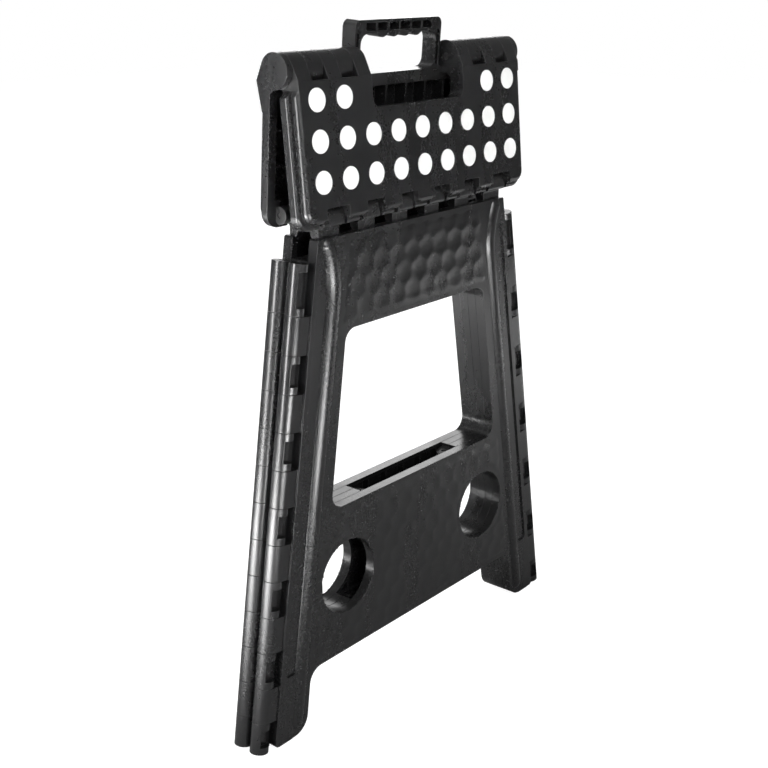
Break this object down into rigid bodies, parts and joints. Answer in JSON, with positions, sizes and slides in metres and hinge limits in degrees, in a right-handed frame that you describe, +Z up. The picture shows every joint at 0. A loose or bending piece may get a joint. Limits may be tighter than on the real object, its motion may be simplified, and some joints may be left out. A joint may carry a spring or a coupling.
{
  "type": "folding step stool",
  "caption": "Folding step stool, folded flat: ribbed leg panels with a window and round holes, hinged side gussets, a dotted step in halves and a carry handle.",
  "frame": {"origin": "on the floor, under the middle of the folded stool", "axes": "+X along the step's long side, -Y towards the front half, +Z up"},
  "size_m": [0.4096, 0.0532, 0.5735],
  "materials": {
    "black_plastic": "satin moulded polypropylene",
    "white_grip": "matte white grip dots",
    "steel_pin": "blackened steel wire pin",
    "foot_rubber": "matte black rubber"
  },
  "bodies": {
    "rear_leg": {"rear_leg_panel": "black_plastic", "rear_top_pin": "steel_pin", "left_rear_corner_pin": "steel_pin", "right_rear_corner_pin": "steel_pin", "left_rear_foot_pad": "foot_rubber", "right_rear_foot_pad": "foot_rubber"},
    "front_leg": {"front_leg_panel": "black_plastic", "front_top_pin": "steel_pin", "left_front_corner_pin": "steel_pin", "right_front_corner_pin": "steel_pin", "left_front_foot_pad": "foot_rubber", "right_front_foot_pad": "foot_rubber"},
    "rear_top": {"rear_top_panel": "black_plastic", "rear_grip_dots": "white_grip", "left_centre_pin": "steel_pin", "right_centre_pin": "steel_pin"},
    "front_top": {"front_top_panel": "black_plastic", "front_grip_dots": "white_grip"},
    "left_rear_side": {"left_rear_gusset": "black_plastic", "left_lower_gusset_pin": "steel_pin", "left_middle_gusset_pin": "steel_pin", "left_upper_gusset_pin": "steel_pin"},
    "left_front_side": {"left_front_gusset": "black_plastic"},
    "right_rear_side": {"right_rear_gusset": "black_plastic", "right_lower_gusset_pin": "steel_pin", "right_middle_gusset_pin": "steel_pin", "right_upper_gusset_pin": "steel_pin"},
    "right_front_side": {"right_front_gusset": "black_plastic"}
  },
  "joints": [
    {"name": "fold", "type": "hinge", "parent": "rear_leg", "child": "rear_top", "pos_m": [0, 0.009, 0.433], "axis": [1, 0, 0], "range_deg": [0, 85.19]},
    {"name": "centre_hinge", "type": "hinge", "parent": "rear_top", "child": "front_top", "pos_m": [0, 0, 0.54], "axis": [-1, 0, 0], "range_deg": [0, 170.38]},
    {"name": "left_rear_corner", "type": "hinge", "parent": "rear_leg", "child": "left_rear_side", "pos_m": [-0.1974, 0.009, 0], "axis": [-0.158, 0, -0.9874], "range_deg": [0, 85.19]},
    {"name": "left_middle", "type": "hinge", "parent": "left_rear_side", "child": "left_front_side", "pos_m": [-0.09174, 0, -0.0169], "axis": [0.158, 0, 0.9874], "range_deg": [0, 170.38]},
    {"name": "left_front_corner", "type": "hinge", "parent": "left_front_side", "child": "front_leg", "pos_m": [-0.1974, -0.009, 0], "axis": [-0.158, 0, -0.9874], "range_deg": [0, 85.19]},
    {"name": "right_rear_corner", "type": "hinge", "parent": "rear_leg", "child": "right_rear_side", "pos_m": [0.1974, 0.009, 0], "axis": [-0.158, 0, 0.9874], "range_deg": [0, 85.19]},
    {"name": "right_middle", "type": "hinge", "parent": "right_rear_side", "child": "right_front_side", "pos_m": [0.09174, 0, -0.0169], "axis": [0.158, 0, -0.9874], "range_deg": [0, 170.38]}
  ],
  "couplings": [
    {"joint": "centre_hinge", "follows": "fold", "ratio": 2},
    {"joint": "left_rear_corner", "follows": "fold", "ratio": 1},
    {"joint": "left_middle", "follows": "fold", "ratio": 2},
    {"joint": "left_front_corner", "follows": "fold", "ratio": 1},
    {"joint": "right_rear_corner", "follows": "fold", "ratio": 1},
    {"joint": "right_middle", "follows": "fold", "ratio": 2}
  ]
}
